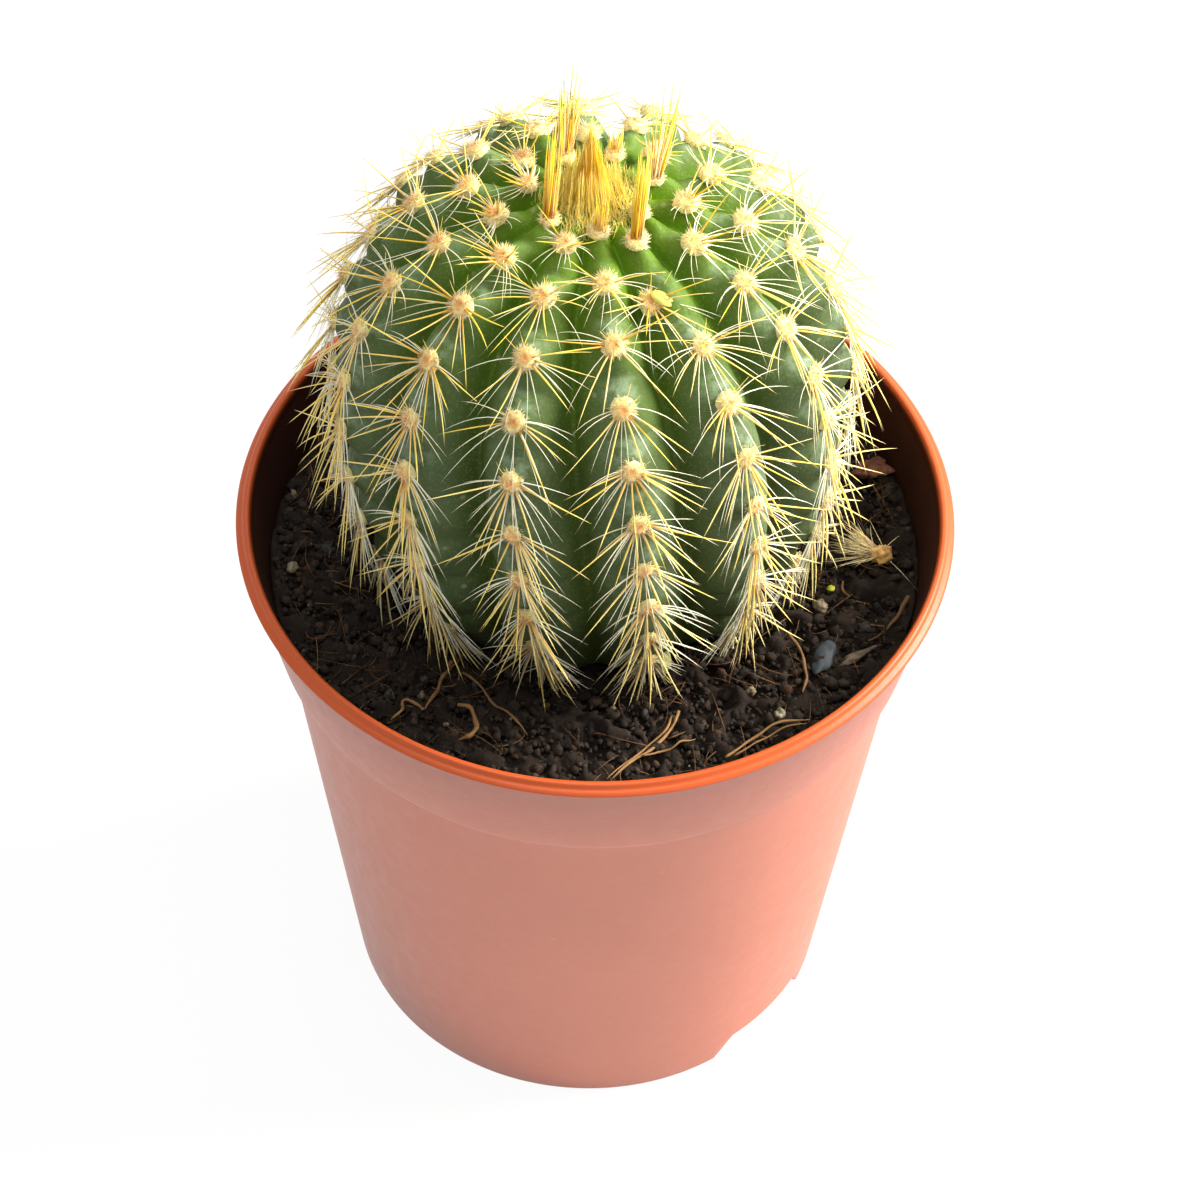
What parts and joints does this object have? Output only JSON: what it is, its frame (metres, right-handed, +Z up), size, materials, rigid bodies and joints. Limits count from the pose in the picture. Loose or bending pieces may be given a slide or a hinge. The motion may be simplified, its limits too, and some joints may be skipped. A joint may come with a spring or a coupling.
{
  "type": "potted ribbed cactus",
  "caption": "Squat barrel-shaped ribbed cactus with rows of golden spine clusters, growing in dark soil in a tapered round nursery pot with a rolled lip and collar.",
  "frame": {"origin": "centre of the pot's foot on the surface it stands on", "axes": "+Z up along the pot's axis, -Y towards the plant's best side, +X to the right of it"},
  "size_m": [0.0644, 0.0644, 0.1043],
  "materials": {
    "terracotta_plastic": "satin moulded polypropylene, terracotta",
    "peat": "moist dark peat",
    "cactus_skin": "waxy green living skin",
    "spines": "glassy golden to white spines with cream wool",
    "dry_fibre": "dry tan plant fibre",
    "bark": "rough bark",
    "grit": "rough mineral grain"
  },
  "bodies": {
    "root": {"pot": "terracotta_plastic", "potting_soil": "peat", "cactus_stem": "cactus_skin", "spine_row_01": "spines", "spine_row_02": "spines", "spine_row_03": "spines", "spine_row_04": "spines", "spine_row_05": "spines", "spine_row_06": "spines", "spine_row_07": "spines", "spine_row_08": "spines", "spine_row_09": "spines", "spine_row_10": "spines", "spine_row_11": "spines", "spine_row_12": "spines", "spine_row_13": "spines", "spine_row_14": "spines", "crown_bristles": "spines", "shed_spine_cluster": "dry_fibre", "root_fibre_1": "dry_fibre", "root_fibre_2": "dry_fibre", "root_fibre_3": "dry_fibre", "root_fibre_4": "dry_fibre", "root_fibre_5": "dry_fibre", "root_fibre_6": "dry_fibre", "root_fibre_7": "dry_fibre", "straw_1": "dry_fibre", "straw_2": "dry_fibre", "bark_chip_1": "bark", "bark_chip_2": "bark", "stone_chip_1": "grit", "grit_grain_1": "grit", "grit_grain_2": "grit", "grit_grain_3": "grit", "grit_grain_4": "grit"}
  },
  "joints": []
}
